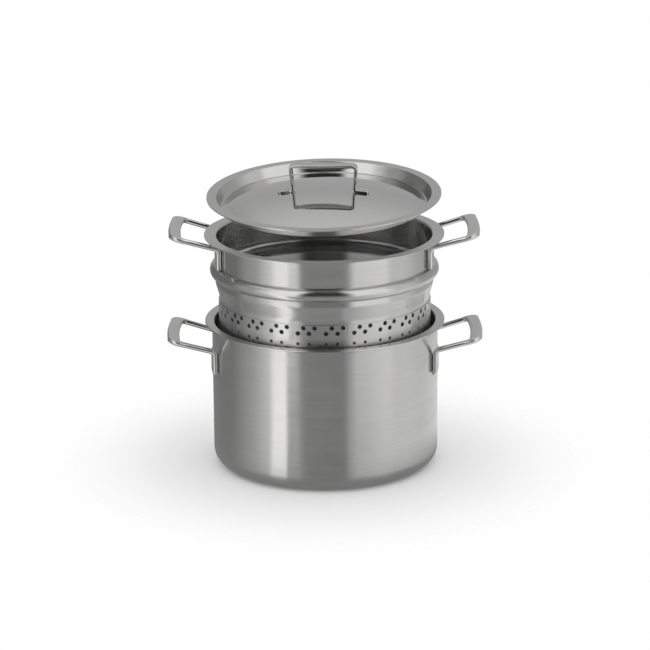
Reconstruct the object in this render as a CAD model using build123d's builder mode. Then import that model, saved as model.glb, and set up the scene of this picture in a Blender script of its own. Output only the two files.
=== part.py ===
from build123d import *
import math
import os

os.makedirs("parts", exist_ok=True)

# A tall pasta pot with a strainer insert and a sunken lid, all pressed from steel sheet.
# The insert is shown lifted part of the way out of the pot, and the lid held over it.
# Sizes are in millimetres and angles in degrees. The origin is the middle of the pot's underside,
# +Z is up, the side handles stand out along X, and the front is towards -Y.

# Fits
seat_gap = 0.05  # left between two pieces that sit on each other over a curve
lift_gap = 0.3  # left between pieces that lift off each other

# Pot
pot_inner_radius = 120.0
pot_wall = 2.5
pot_floor = 3.0
pot_height = 160.0
pot_corner = 17.0  # outside rounding from the wall into the floor
pot_lip_reach = 7.5  # how far the lip stands out from the wall
pot_lip_sheet = 2.0
pot_lip_crest = 1.5  # rounding from the inner wall up on to the lip
pot_lip_neck = 1.2  # rounding under the lip
pot_lip_edge = 0.8

# Strainer insert, with heights counted from the middle of the bead that rests on the pot's lip
insert_raise = 50.8  # how far the insert is lifted off its seat in the shown pose
insert_sheet = 0.9
collar_radius = 117.0
collar_rise = 38.25  # up to the top of the lip
insert_lip_radius = 129.5
insert_lip_neck = 1.8
bead_radius = 123.8  # out to the bead's crest
bead_round = 7.5  # radius of the bead's own round section
bead_half_height = 7.4
bead_crease = 0.5
skirt_radius = 118.0  # just under the bead
skirt_blend = 8.0
skirt_drop = 14.0
taper_drop = 28.0
taper_blend = 12.0
basket_radius = 114.0
basket_depth = 152.0  # down to the basket's underside
basket_corner = 15.0

# Holes of the strainer
hole_bands = 6
hole_band_pitch = 17.0
hole_band_drop = 39.2  # from the bead's middle to the middle of the top band
hole_pairs = 24
hole_step_angle = 6.0
hole_turn = -0.6  # how far the whole pattern is turned from the front
wide_hole_radius = 2.45
wide_row_spacing = 6.0
fine_hole_radius = 1.7
fine_row_spacing = 5.2
hole_cut = 4.0
base_rings = 5
base_ring_pitch = 18.0
base_ring_holes = 8

# Side handles, bent from round rod with a flattened grip
rod_radius = 2.9
rod_bend = 7.0
rod_foot_round = 1.2
leg_spacing = 82.0
pot_leg_length = 25.0
arm_slope = 15.8
arm_spread = 5.0
pot_arm_height = 133.8
insert_arm_drop = 7.5  # from the top of the insert's lip down to the arms
pot_grip_reach = 54.3  # from the legs to the grip's outer edge, along the arms
insert_grip_reach = 56.5
grip_width = 13.0
grip_length = 98.0
grip_thickness = 6.2
grip_bow = 4.0
grip_hollow = 9.5  # from the ends of the grip's horns to its inner edge
grip_hollow_bow = 2.5
grip_hollow_round = 4.5
grip_corner = 15.0
grip_horn_corner = 2.3
grip_edge = 2.0
arm_overlap = 9.0  # how far an arm runs on inside the grip

# Mounting plates between the handles' legs, and their rivets
plate_sheet = 1.5
pot_plate_height = 20.0
plate_drop = 9.0  # from the arms down to the plate's top edge
plate_corner = 2.0
rivet_angle = 12.5
rivet_drop = 20.5
rivet_shank = 1.9
rivet_outer_head = 2.8
rivet_outer_rise = 1.6
rivet_inner_head = 3.5
rivet_inner_rise = 1.2

# Lid, with heights counted from the top of its mouth along its own axis
lid_tilt = 4.4
lid_tilt_turn = -11.8  # from the X axis to the line it tilts about
lid_turn = -5.0  # of the lid about its own axis, its right side to the front
lid_raise = 43.3  # from the top of the insert's lip to the top of the lid's mouth, at the centre
lid_sheet = 1.0
lid_lip_radius = 126.2
lid_mouth_radius = 115.7
lid_mouth_round = 1.5
lid_well_depth = 11.0
lid_well_radius = 110.9
lid_well_round = 1.5
lid_disc_depth = 11.3
lid_disc_radius = 109.2
lid_dome_height = 15.3

# Lid handle, one bent strip with a foot at each end
strap_thickness = 3.8
strap_height = 29.2  # from the dome's top to the top of the grip
strap_bend = 4.0
strap_foot_width = 12.0
strap_grip_width = 16.0
strap_grip_shoulder = 10.0
strap_foot_span = 98.0
strap_leg_span = 66.0  # at the feet, over the middle of the strip
strap_top_span = 71.0  # at the grip
foot_thickness = 2.7
foot_corner = 3.0
strap_edge = 1.0
stud_spacing = 5.2
stud_offset = 41.8  # from the lid's centre to the middle of a foot's two rivets
stud_shank = 1.2
stud_head = 2.0
stud_rise = 0.8

# Worked out from the sizes above
pot_outer_radius = pot_inner_radius + pot_wall
pot_lip_radius = pot_outer_radius + pot_lip_reach
bead_middle_radius = bead_radius - bead_round
bead_end_radius = bead_middle_radius + math.sqrt(bead_round**2 - bead_half_height**2)
crest_radius = pot_inner_radius + pot_lip_crest
crest_reach = bead_round + pot_lip_crest + lift_gap
seated_rise = math.sqrt(crest_reach**2 - (crest_radius - bead_middle_radius) ** 2)
bead_height = pot_height - pot_lip_crest + seated_rise + insert_raise
insert_top = bead_height + collar_rise
insert_arm_height = insert_top - insert_arm_drop
collar_inner_radius = collar_radius - insert_sheet
insert_leg_length = collar_rise - insert_arm_drop - bead_half_height - lift_gap
insert_plate_height = insert_leg_length - plate_drop
lid_height = insert_top + lid_raise
lid_tilt_line = Axis((0, 0, 0), Vector(1, 0, 0).rotate(Axis.Z, lid_tilt_turn))
lid_axis = Vector(0, 0, 1).rotate(lid_tilt_line, lid_tilt)
lid_right = Vector(1, 0, 0).rotate(Axis.Z, lid_turn).rotate(lid_tilt_line, lid_tilt)
lid_back = Vector(0, 1, 0).rotate(Axis.Z, lid_turn).rotate(lid_tilt_line, lid_tilt)
dome_radius = (lid_disc_radius**2 + lid_dome_height**2) / (2 * lid_dome_height)
dome_top = lid_dome_height - lid_disc_depth

sides = {"left": -1, "right": 1}


def wall_spot(radius, angle, height):
    """A plane on an upright round wall, facing straight out from the pot's axis."""
    turn = math.radians(angle)
    outwards = (math.cos(turn), math.sin(turn), 0)
    place = (radius * outwards[0], radius * outwards[1], height)
    return Plane(origin=place, x_dir=(0, 0, 1), z_dir=outwards)


def rivet_angles(side):
    """The two places of a handle's rivets round the wall, for the left or right side."""
    middle = 0 if side > 0 else 180
    return (middle - rivet_angle, middle + rivet_angle)


def rivet_section(plane, seats, shank, inner_head, inner_rise, outer_head, outer_rise):
    """Half of a rivet with two domed heads, its first axis running from seat to seat."""
    inner_seat, outer_seat = seats
    with BuildSketch(plane) as section:
        with BuildLine():
            TangentArc((inner_seat - inner_rise, 0), (inner_seat, inner_head), tangent=(0, 1))
            Polyline(
                (inner_seat, inner_head),
                (inner_seat, shank),
                (outer_seat, shank),
                (outer_seat, outer_head),
            )
            TangentArc((outer_seat + outer_rise, 0), (outer_seat, outer_head), tangent=(0, 1))
            Line((outer_seat + outer_rise, 0), (inner_seat - inner_rise, 0))
        make_face()
    return section.sketch


def write(piece, name):
    piece.part.label = name
    export_step(piece.part, f"parts/{name}.step")


# The pot's shell, with a flat lip and holes for the handles' rivets
with BuildPart() as pot_body:
    with BuildSketch(Plane.XZ):
        with BuildLine():
            FilletPolyline(
                (0, 0),
                (pot_outer_radius, 0),
                (pot_outer_radius, pot_height - pot_lip_sheet),
                (pot_lip_radius, pot_height - pot_lip_sheet),
                (pot_lip_radius, pot_height),
                (pot_inner_radius, pot_height),
                (pot_inner_radius, pot_floor),
                (0, pot_floor),
                radius=[
                    pot_corner,
                    pot_lip_neck,
                    pot_lip_edge,
                    pot_lip_edge,
                    pot_lip_crest,
                    pot_corner - pot_wall,
                ],
            )
            Line((0, pot_floor), (0, 0))
        make_face()
    revolve(axis=Axis.Z)
    for side in sides.values():
        for angle in rivet_angles(side):
            with Locations(wall_spot(pot_outer_radius + pot_wall, angle, pot_arm_height - rivet_drop)):
                Hole(rivet_shank + seat_gap, depth=3 * pot_wall)
write(pot_body, "pot_body")


def hole_places(wide):
    """Where the wide or the fine holes of the basket are drilled, each facing outwards."""
    spacing = wide_row_spacing if wide else fine_row_spacing
    places = []
    for band in range(0 if wide else 1, hole_bands, 2):
        middle = bead_height - hole_band_drop - band * hole_band_pitch
        for row in (1, -1):
            shift = hole_step_angle / 2 if (row > 0) == wide else 0
            for pair in range(hole_pairs):
                for step in (0, hole_step_angle):
                    angle = hole_turn - 90 + shift + step + pair * 360 / hole_pairs
                    places.append(wall_spot(basket_radius + hole_cut / 2, angle, middle + row * spacing / 2))
    return places


# The strainer insert: lip, collar, bead, taper and holed basket in one sheet
with BuildPart() as insert_body:
    with BuildSketch(Plane.XZ):
        with BuildLine():
            FilletPolyline(
                (insert_lip_radius, insert_top - insert_sheet),
                (collar_radius, insert_top - insert_sheet),
                (collar_radius, bead_height + bead_half_height),
                (bead_end_radius, bead_height + bead_half_height),
                radius=[insert_lip_neck, bead_crease],
            )
            ThreePointArc(
                (bead_end_radius, bead_height + bead_half_height),
                (bead_radius, bead_height),
                (bead_end_radius, bead_height - bead_half_height),
            )
            FilletPolyline(
                (bead_end_radius, bead_height - bead_half_height),
                (skirt_radius, bead_height - skirt_drop),
                (basket_radius, bead_height - taper_drop),
                (basket_radius, bead_height - basket_depth),
                (0, bead_height - basket_depth),
                radius=[skirt_blend, taper_blend, basket_corner],
            )
            offset(amount=insert_sheet, side=Side.RIGHT)
        make_face()
    revolve(axis=Axis.Z)
    for wide in (True, False):
        with Locations(*hole_places(wide)):
            Hole(wide_hole_radius if wide else fine_hole_radius, depth=hole_cut)
    for ring in range(1, base_rings + 1):
        with Locations(Plane.XY.offset(bead_height - basket_depth + hole_cut / 2)):
            with PolarLocations(ring * base_ring_pitch, ring * base_ring_holes):
                Hole(wide_hole_radius, depth=hole_cut)
    for side in sides.values():
        for angle in rivet_angles(side):
            with Locations(wall_spot(collar_radius + hole_cut / 2, angle, insert_arm_height - rivet_drop)):
                Hole(rivet_shank + seat_gap, depth=hole_cut)
write(insert_body, "insert_body")


def make_handle(name, side, wall_radius, arm_height, leg_length, grip_reach):
    """One side handle: two legs on the wall, two arms and the flat grip across them."""
    leg_radius = wall_radius + seat_gap + rod_radius
    leg_x = math.sqrt(leg_radius**2 - (leg_spacing / 2) ** 2)
    slope = math.radians(arm_slope)
    spread = math.radians(arm_spread)
    slope_plane = Plane(
        origin=(side * leg_x, 0, arm_height),
        x_dir=(side * math.cos(slope), 0, math.sin(slope)),
        z_dir=(-side * math.sin(slope), 0, math.cos(slope)),
    )
    outer = grip_reach - grip_bow
    inner = grip_reach - grip_width - grip_hollow
    shoulder = inner + grip_hollow - grip_hollow_bow
    half = grip_length / 2
    hollow_half = leg_spacing / 2 + shoulder * math.tan(spread) - rod_radius
    with BuildPart() as handle:
        with BuildSketch(slope_plane):
            with BuildLine():
                ThreePointArc((outer, -half), (grip_reach, 0), (outer, half))
                Polyline((outer, half), (inner, half), (inner, hollow_half), (shoulder, hollow_half))
                ThreePointArc((shoulder, hollow_half), (inner + grip_hollow, 0), (shoulder, -hollow_half))
                Polyline((shoulder, -hollow_half), (inner, -hollow_half), (inner, -half), (outer, -half))
            make_face()
            fillet(vertices().group_by(Axis.X)[-1], grip_corner)
            fillet(vertices().group_by(Axis.X)[0], grip_horn_corner)
            fillet(vertices().filter_by_position(Axis.X, shoulder - seat_gap, shoulder + seat_gap), grip_hollow_round)
        extrude(amount=grip_thickness / 2, both=True)
        flats = faces().sort_by(Axis((0, 0, 0), tuple(slope_plane.z_dir)))
        fillet([*flats[0].edges(), *flats[-1].edges()], grip_edge)
        for leg_y in (-leg_spacing / 2, leg_spacing / 2):
            run = inner + arm_overlap
            foot = Vector(side * leg_x, leg_y, arm_height - leg_length)
            elbow = Vector(side * leg_x, leg_y, arm_height)
            tip = elbow + slope_plane.x_dir * run
            tip += Vector(0, math.copysign(run * math.tan(spread), leg_y), 0)
            with BuildLine():
                FilletPolyline(foot, elbow, tip, radius=rod_bend)
            with BuildSketch(Plane(origin=foot, z_dir=(0, 0, 1))):
                Circle(rod_radius)
            sweep()
        feet = edges().filter_by(GeomType.CIRCLE).sort_by(Axis.Z)[:2]
        fillet(feet, rod_foot_round)
    write(handle, name)


def make_plate(name, side, wall_radius, arm_height, height):
    """The curved plate that carries a handle, fitted between its two legs."""
    inside = wall_radius + seat_gap
    reach = leg_spacing - 2 * (rod_radius + seat_gap)
    top = arm_height - plate_drop
    with BuildPart() as plate:
        with BuildSketch(Plane.XY.offset(top - height)):
            Circle(inside + plate_sheet)
            Circle(inside, mode=Mode.SUBTRACT)
            with Locations((side * wall_radius, 0)):
                Rectangle(wall_radius, reach, mode=Mode.INTERSECT)
        extrude(amount=height)
        fillet(edges().filter_by(Axis.X), plate_corner)
        for angle in rivet_angles(side):
            with Locations(wall_spot(inside + 2 * plate_sheet, angle, arm_height - rivet_drop)):
                Hole(rivet_shank + seat_gap, depth=3 * plate_sheet)
    write(plate, name)


def make_rivets(name, side, inner_radius, wall_radius, arm_height):
    """The two rivets that hold a handle's plate on the wall."""
    outer_seat = wall_radius + seat_gap + plate_sheet + seat_gap
    inner_seat = math.sqrt(inner_radius**2 - rivet_inner_head**2) - seat_gap
    height = arm_height - rivet_drop
    with BuildPart() as rivets:
        for angle in rivet_angles(side):
            turn = math.radians(angle)
            outwards = (math.cos(turn), math.sin(turn), 0)
            along = (-math.sin(turn), math.cos(turn), 0)
            half = rivet_section(
                Plane(origin=(0, 0, height), x_dir=outwards, z_dir=along),
                (inner_seat, outer_seat),
                rivet_shank,
                rivet_inner_head,
                rivet_inner_rise,
                rivet_outer_head,
                rivet_outer_rise,
            )
            revolve(half, axis=Axis((0, 0, height), outwards))
    write(rivets, name)


for side_name, side in sides.items():
    wall = (pot_outer_radius, pot_arm_height)
    make_handle(f"pot_handle_{side_name}", side, *wall, pot_leg_length, pot_grip_reach)
    make_plate(f"pot_flange_{side_name}", side, *wall, pot_plate_height)
    make_rivets(f"pot_rivets_{side_name}", side, pot_inner_radius, *wall)
    wall = (collar_radius, insert_arm_height)
    make_handle(f"insert_handle_{side_name}", side, *wall, insert_leg_length, insert_grip_reach)
    make_plate(f"insert_flange_{side_name}", side, *wall, insert_plate_height)
    make_rivets(f"insert_rivets_{side_name}", side, collar_inner_radius, *wall)

# The lid is drawn on planes that tilt with it.
lid_centre = Vector(0, 0, lid_height)
lid_section_plane = Plane(origin=lid_centre, x_dir=lid_right, z_dir=-lid_back)
lid_plan_plane = Plane(origin=lid_centre, x_dir=lid_right, z_dir=lid_axis)
dome_middle = dome_top - dome_radius


def stud_plane(along):
    """The section plane of a lid rivet, with its first axis straight out of the dome."""
    lean = math.asin(along / dome_radius)
    outwards = lid_axis * math.cos(lean) + lid_right * math.sin(lean)
    return Plane(origin=lid_centre + lid_axis * dome_middle, x_dir=outwards, z_dir=lid_back)


stud_places = {
    "left": (-stud_offset - stud_spacing / 2, -stud_offset + stud_spacing / 2),
    "right": (stud_offset - stud_spacing / 2, stud_offset + stud_spacing / 2),
}


def drill_studs(outside):
    """Drills the handle's rivet holes through the piece in work, from a radius of the dome."""
    for pair in stud_places.values():
        for along in pair:
            stud = stud_plane(along)
            place = Plane(origin=stud.origin + stud.x_dir * outside, z_dir=stud.x_dir)
            with Locations(place):
                Hole(stud_shank + seat_gap, depth=outside - dome_radius + 3 * lid_sheet)


# The sunken lid: lip, well and domed disc in one sheet
with BuildPart() as lid_pan:
    with BuildSketch(lid_section_plane):
        with BuildLine():
            FilletPolyline(
                (lid_lip_radius, 0),
                (lid_mouth_radius, 0),
                (lid_well_radius, -lid_well_depth),
                (lid_disc_radius, -lid_disc_depth),
                radius=[lid_mouth_round, lid_well_round],
            )
            TangentArc((0, dome_top), (lid_disc_radius, -lid_disc_depth), tangent=(1, 0))
            offset(amount=lid_sheet, side=Side.LEFT)
        make_face()
    revolve(axis=Axis(lid_centre, lid_axis))
    drill_studs(dome_radius + lid_sheet)
write(lid_pan, "lid_pan")

# The lid's handle: a bent strip, narrow over its feet and widest at the grip
strap_top = dome_top + strap_height
strap_middle = strap_top - strap_thickness / 2
foot_seat = dome_radius + seat_gap
foot_back = foot_seat + foot_thickness
foot_end = strap_foot_span / 2
foot_start = strap_leg_span / 2
foot_end_top = dome_middle + math.sqrt(foot_back**2 - foot_end**2)
foot_start_top = dome_middle + math.sqrt(foot_back**2 - foot_start**2)
with BuildPart() as lid_handle:
    with BuildSketch(lid_section_plane):
        with BuildLine():
            FilletPolyline(
                (-foot_start, dome_top),
                (-strap_top_span / 2, strap_middle),
                (strap_top_span / 2, strap_middle),
                (foot_start, dome_top),
                radius=strap_bend,
            )
            offset(amount=strap_thickness / 2)
        make_face()
        for side in sides.values():
            with BuildLine():
                Polyline(
                    (side * foot_start, -lid_disc_depth),
                    (side * foot_start, foot_start_top),
                    (side * foot_end, foot_end_top),
                    (side * foot_end, -lid_disc_depth),
                    close=True,
                )
            make_face()
        with Locations((0, dome_middle)):
            Circle(foot_seat, mode=Mode.SUBTRACT)
    extrude(amount=strap_grip_width / 2, both=True)
    with BuildSketch(lid_plan_plane.offset(-lid_disc_depth)):
        shoulder = (strap_top_span + strap_thickness) / 2
        with BuildLine():
            for side in sides.values():
                ThreePointArc(
                    (-shoulder, side * strap_grip_shoulder / 2),
                    (0, side * strap_grip_width / 2),
                    (shoulder, side * strap_grip_shoulder / 2),
                )
            for end in sides.values():
                Polyline(
                    (end * shoulder, strap_grip_shoulder / 2),
                    (end * foot_end, strap_foot_width / 2),
                    (end * foot_end, -strap_foot_width / 2),
                    (end * shoulder, -strap_grip_shoulder / 2),
                )
        make_face()
        fillet(vertices().group_by(Axis.X)[0], foot_corner)
        fillet(vertices().group_by(Axis.X)[-1], foot_corner)
    extrude(amount=lid_disc_depth + strap_top + strap_thickness, mode=Mode.INTERSECT)
    grip_faces = faces().sort_by(Axis((0, 0, 0), lid_axis))
    fillet(grip_faces[-1].edges().filter_by(GeomType.CIRCLE), strap_edge)
    drill_studs(foot_back + lid_sheet)
write(lid_handle, "lid_handle")

for side_name, pair in stud_places.items():
    with BuildPart() as lid_rivets:
        for along in pair:
            stud = stud_plane(along)
            seats = (dome_radius - lid_sheet - seat_gap, foot_back + seat_gap)
            half = rivet_section(stud, seats, stud_shank, stud_head, stud_rise, stud_head, stud_rise)
            revolve(half, axis=Axis(stud.origin, stud.x_dir))
    write(lid_rivets, f"lid_rivets_{side_name}")
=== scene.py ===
"""The looks of a tall pasta pot with a lifted strainer insert and a lid held over it.

Lengths are in metres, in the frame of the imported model: +Z up, side handles along X, front towards -Y.
"""

import math

import bmesh
import bpy
from mathutils import Matrix, Vector


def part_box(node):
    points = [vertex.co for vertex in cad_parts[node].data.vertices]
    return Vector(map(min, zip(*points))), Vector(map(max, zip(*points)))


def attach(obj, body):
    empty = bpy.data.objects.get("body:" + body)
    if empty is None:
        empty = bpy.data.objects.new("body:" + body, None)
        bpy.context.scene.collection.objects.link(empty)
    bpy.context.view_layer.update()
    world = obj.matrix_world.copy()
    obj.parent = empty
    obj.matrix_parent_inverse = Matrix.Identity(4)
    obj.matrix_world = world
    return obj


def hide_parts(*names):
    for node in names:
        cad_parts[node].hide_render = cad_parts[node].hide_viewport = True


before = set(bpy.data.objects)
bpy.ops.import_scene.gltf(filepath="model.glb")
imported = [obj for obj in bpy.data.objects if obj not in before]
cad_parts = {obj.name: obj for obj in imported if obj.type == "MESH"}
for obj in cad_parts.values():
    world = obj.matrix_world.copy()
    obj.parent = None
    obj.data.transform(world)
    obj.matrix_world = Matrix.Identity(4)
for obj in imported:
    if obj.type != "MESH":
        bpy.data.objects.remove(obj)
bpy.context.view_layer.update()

mm = 0.001
full_turn = 2 * math.pi
slack = 0.01 * mm  # for picking by place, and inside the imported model's box
fine_slack = 0.001 * mm
weld = 0.002 * mm  # corners nearer than this are one
seam_weld = 0.02 * mm  # the same where two runs of the insert's sheet meet

# Pot
pot_inner_radius = 120 * mm
pot_wall = 2.5 * mm
pot_floor = 3 * mm
pot_corner = 17 * mm
pot_lip_sheet = 2 * mm
pot_lip_crest = 1.5 * mm
pot_lip_neck = 1.2 * mm
pot_lip_edge = 0.8 * mm
pot_foot_radius = 88 * mm
pot_foot_recess = 0.4 * mm
pot_foot_round = 2 * mm
pot_foot_slope = 3 * mm
pot_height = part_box("pot_body")[1].z
pot_lip_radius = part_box("pot_body")[1].y - slack
pot_outer_radius = pot_inner_radius + pot_wall

# Strainer insert
insert_sheet = 0.9 * mm
collar_radius = 117 * mm
collar_rise = 38.25 * mm
insert_lip_neck = 1.8 * mm
insert_lip_soft = 0.3 * mm
bead_radius = 123.8 * mm
bead_round = 7.5 * mm
bead_half_height = 7.4 * mm
skirt_radius = 118 * mm
skirt_blend = 8 * mm
skirt_drop = 14 * mm
taper_drop = 28 * mm
taper_blend = 12 * mm
basket_radius = 114 * mm
basket_depth = 152 * mm
basket_corner = 15 * mm
insert_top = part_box("insert_body")[1].z
insert_lip_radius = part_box("insert_body")[1].x
bead_height = insert_top - collar_rise

# Holes of the strainer
hole_bands = 6
hole_band_pitch = 17 * mm
hole_band_drop = 39.2 * mm
hole_turn = math.radians(-0.6)
hole_pairs = 24
wide_hole_radius = 2.45 * mm
wide_row_spacing = 6 * mm
fine_hole_radius = 1.7 * mm
fine_row_spacing = 5.2 * mm
hole_sides = 16
base_rings = 5
base_ring_pitch = 18 * mm
base_ring_holes = 8
base_radius = basket_radius - basket_corner - 1 * mm
wall_steps = 240
column = full_turn * basket_radius / wall_steps

# Side handles
rod_radius = 2.9 * mm
rod_bend = 7 * mm
seat_gap = 0.05 * mm
leg_spacing = 82 * mm
pot_leg_length = 25 * mm
insert_leg_length = 23.05 * mm
arm_slope = math.radians(15.8)
arm_spread = math.radians(5)
pot_arm_height = 133.8 * mm
insert_arm_height = insert_top - 7.5 * mm
pot_grip_reach = 54.26 * mm
insert_grip_reach = 56.5 * mm
grip_width = 13 * mm
grip_length = 98 * mm
grip_thickness = 6.2 * mm
grip_bow = 4 * mm
grip_hollow = 9.5 * mm
grip_hollow_bow = 2.5 * mm
grip_hollow_round = 4.5 * mm
grip_corner = 15 * mm
corner_ease = 0.4 * mm
swell_lead = 1 * mm
swell_run = 12 * mm
satin_lead = 2 * mm
foot_rounding = ((0, 0.5), (0.25, 0.78), (0.7, 0.94), (1.3, 1.0))  # rise in mm, share of the full width

# Mounting plates and rivets
plate_sheet = 1.5 * mm
pot_plate_height = 20 * mm
insert_plate_height = 14.05 * mm
plate_drop = 9 * mm
plate_corner = 2 * mm
plate_soft = 0.35 * mm
rivet_angle = math.radians(12.5)
rivet_drop = 20.5 * mm
rivet_outer_head = 2.8 * mm
rivet_outer_rise = 1.6 * mm
rivet_inner_head = 3.5 * mm
rivet_inner_rise = 1.2 * mm
rivet_shank = 1.9 * mm
rivet_dimple = 0.7 * mm
dimple_half = 0.35 * mm

# Lid and its handle
lid_tilt = math.radians(4.4)
lid_tilt_turn = math.radians(-11.8)
lid_turn = math.radians(-5)
lid_raise = 43.3 * mm
lid_height = insert_top + lid_raise
lid_sheet = 1 * mm
lid_lip_radius = 126.2 * mm
lid_mouth_radius = 115.7 * mm
lid_mouth_round = 1.5 * mm
lid_lip_soft = 0.35 * mm
lid_well_depth = 11 * mm
lid_well_radius = 110.9 * mm
lid_well_round = 1.5 * mm
lid_disc_depth = 11.3 * mm
lid_disc_radius = 109.2 * mm
lid_dome_height = 15.3 * mm
dome_radius = (lid_disc_radius**2 + lid_dome_height**2) / (2 * lid_dome_height)
dome_top = lid_dome_height - lid_disc_depth
dome_middle = dome_top - dome_radius
tilt_line = Vector((math.cos(lid_tilt_turn), math.sin(lid_tilt_turn), 0))
lid_place = Matrix.Translation((0, 0, lid_height)) @ Matrix.Rotation(lid_tilt, 4, tilt_line)
lid_place @= Matrix.Rotation(lid_turn, 4, "Z")
strap_thickness = 3.8 * mm
strap_height = 29.2 * mm
strap_bend = 4 * mm
strap_foot_bend = 3 * mm
strap_foot_width = 12 * mm
strap_shoulder = 10 * mm
strap_grip_width = 16 * mm
strap_foot_span = 98 * mm
strap_leg_span = 66 * mm
strap_top_span = 71 * mm
strap_end_run = 3 * mm
strap_foot_top = 10 * mm
strap_thin_top = 4 * mm
foot_thickness = 2.7 * mm
stud_spacing = 5.2 * mm
stud_offset = 41.8 * mm
stud_head = 2 * mm
stud_rise = 0.8 * mm
stud_shank = 1.2 * mm
stud_dimple = 0.25 * mm

sides = {"left": -1, "right": 1}


# Modelling helpers
def give_part(piece, material, test):
    """A second finish on the faces of a piece whose middle passes the test."""
    piece.data.materials.append(material)
    piece.select_set(True)
    bpy.context.view_layer.objects.active = piece
    piece.active_material_index = len(piece.data.materials) - 1
    bpy.ops.object.mode_set(mode="EDIT")
    pick("faces", test)
    bpy.ops.object.material_slot_assign()
    deselect()


def deselect():
    """Leaves edit mode and selects nothing, so that an operator touches only the new piece."""
    if bpy.context.object and bpy.context.object.mode == "EDIT":
        bpy.ops.object.mode_set(mode="OBJECT")
    bpy.ops.object.select_all(action="DESELECT")


def pick(kind, test):
    """In edit mode, selects only the verts, edges or faces whose middle passes the test."""
    modes = ("verts", "edges", "faces")
    bpy.context.tool_settings.mesh_select_mode = tuple(kind == mode for mode in modes)
    bpy.ops.mesh.select_all(action="DESELECT")
    form = bmesh.from_edit_mesh(bpy.context.object.data)
    for item in getattr(form, kind):
        if kind == "verts":
            middle = item.co
        elif kind == "edges":
            middle = (item.verts[0].co + item.verts[1].co) / 2
        else:
            middle = item.calc_center_median()
        if test(middle):
            item.select_set(True)
    form.select_flush_mode()
    bmesh.update_edit_mesh(bpy.context.object.data)


def tidy_faces():
    """Joins doubled corners and turns every face outwards."""
    bpy.ops.mesh.select_all(action="SELECT")
    bpy.ops.mesh.remove_doubles(threshold=weld)
    bpy.ops.mesh.normals_make_consistent(inside=False)


def finish_piece(name, body, material, nodes=(), angle=32):
    """Names the active piece, smooths it and hands it to the body that it moves with."""
    deselect()
    piece = bpy.context.object
    piece.name = name
    piece.data.name = name
    piece.select_set(True)
    bpy.ops.object.shade_smooth_by_angle(angle=math.radians(angle))
    piece.data.materials.clear()
    piece.data.materials.append(material)
    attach(piece, body)
    if nodes:
        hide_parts(*nodes)
    deselect()
    return piece


def rounded(corners, fineness=9, hold=0.35 * mm):
    """Points along straight runs with rounded corners; a corner is (across, up, radius)."""
    middles = [Vector(corner[:2]) for corner in corners]
    reaches = [0.0] * len(corners)
    for index in range(1, len(corners) - 1):
        back = (middles[index - 1] - middles[index]).normalized()
        ahead = (middles[index + 1] - middles[index]).normalized()
        reaches[index] = corners[index][2] / math.tan(back.angle(ahead) / 2)
    points = []
    for index, here in enumerate(middles):
        radius = corners[index][2]
        if radius == 0 or index in (0, len(corners) - 1):
            points.append(here)
            continue
        back = (middles[index - 1] - here).normalized()
        ahead = (middles[index + 1] - here).normalized()
        half = back.angle(ahead) / 2
        centre = here + (back + ahead).normalized() * radius / math.sin(half)
        start = here + back * reaches[index] - centre
        end = here + ahead * reaches[index] - centre
        turn = math.atan2(start.x * end.y - start.y * end.x, start.dot(end))
        steps = max(3, round(abs(math.degrees(turn)) / fineness))
        before = (here - middles[index - 1]).length - reaches[index] - reaches[index - 1]
        after = (here - middles[index + 1]).length - reaches[index] - reaches[index + 1]
        if before > 3 * hold:
            points.append(centre + start + back * hold)
        for step in range(steps + 1):
            points.append(centre + Matrix.Rotation(turn * step / steps, 2) @ start)
        if after > 3 * hold:
            points.append(centre + end + ahead * hold)
    return points


def arc(centre, radius, first, last, steps):
    """Points on an arc between two angles, both ends included."""
    angles = [first + (last - first) * step / steps for step in range(steps + 1)]
    return [Vector((centre[0] + radius * math.cos(a), centre[1] + radius * math.sin(a))) for a in angles]


def draw_line(points):
    """Starts a piece with a chain of edges in the upright plane through the axis."""
    deselect()
    bpy.ops.mesh.primitive_plane_add(size=mm, location=(0, 0, 0))
    bpy.ops.object.mode_set(mode="EDIT")
    bpy.context.tool_settings.mesh_select_mode = (True, False, False)
    bpy.ops.mesh.select_all(action="SELECT")
    bpy.ops.mesh.merge(type="CENTER")
    extend_line([Vector((0, 0)), *points], skip_first=True)


def extend_line(points, skip_first=False):
    """Moves or extrudes the selected corner from point to point."""
    for index, (before, after) in enumerate(zip(points, points[1:])):
        step = (after.x - before.x, 0, after.y - before.y)
        if skip_first and index == 0:
            bpy.ops.transform.translate(value=step)
        else:
            bpy.ops.mesh.extrude_vertices_move(TRANSFORM_OT_translate={"value": step})


def spin_line(points, steps=wall_steps):
    """A piece made by turning a drawn line once round the upright axis."""
    draw_line(points)
    bpy.ops.mesh.select_all(action="SELECT")
    bpy.ops.mesh.spin(steps=steps, angle=full_turn, center=(0, 0, 0), axis=(0, 0, 1))
    tidy_faces()


def give_thickness(sheet, outward):
    """Turns a sheet into a solid wall; outward says whether it grows the way its faces point."""
    bpy.ops.object.mode_set(mode="OBJECT")
    piece = bpy.context.object
    wall = piece.modifiers.new("wall", "SOLIDIFY")
    wall.thickness = sheet
    wall.offset = 1 if outward else -1
    wall.use_even_offset = True
    wall.use_rim = True
    bpy.ops.object.modifier_apply(modifier=wall.name)


def face_out(test, direction):
    """Flips the whole sheet if the face that passes the test doesn't point the given way."""
    form = bmesh.from_edit_mesh(bpy.context.object.data)
    found = [face for face in form.faces if test(face.calc_center_median())]
    if found[0].normal.dot(direction(found[0].calc_center_median())) < 0:
        bpy.ops.mesh.select_all(action="SELECT")
        bpy.ops.mesh.flip_normals()


def radially(point):
    """The direction straight out from the upright axis."""
    return Vector((point.x, point.y, 0)).normalized()


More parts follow.
